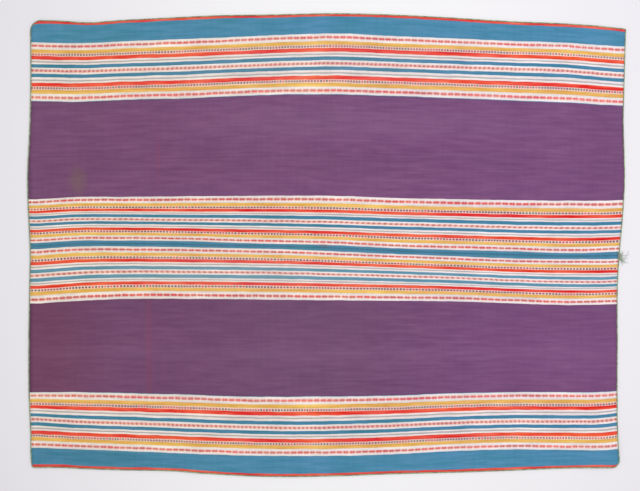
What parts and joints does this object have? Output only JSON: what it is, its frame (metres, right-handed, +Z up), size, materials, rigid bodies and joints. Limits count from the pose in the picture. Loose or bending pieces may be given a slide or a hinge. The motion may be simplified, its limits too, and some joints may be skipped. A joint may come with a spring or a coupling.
{
  "type": "woven mantle",
  "caption": "Rectangular warp-striped woven mantle of panels sewn edge to edge, bound with a narrow woven edging, laid out flat.",
  "frame": {"origin": "centre of the laid-out mantle's bounding box, on the surface it lies on", "axes": "+X along the warp and the seam, +Y towards the far long edge, +Z up out of the cloth's face"},
  "size_m": [1.2073, 0.9286, 0.0053],
  "materials": {
    "panel_cloth": "matt warp-faced wool with woven stripes",
    "edging_wool": "matt narrow woven wool edging",
    "loose_thread": "matt twisted wool thread"
  },
  "bodies": {
    "root": {"upper_panel": "panel_cloth", "lower_panel": "panel_cloth", "edge_binding": "edging_wool", "thread_tuft": "loose_thread"}
  },
  "joints": []
}
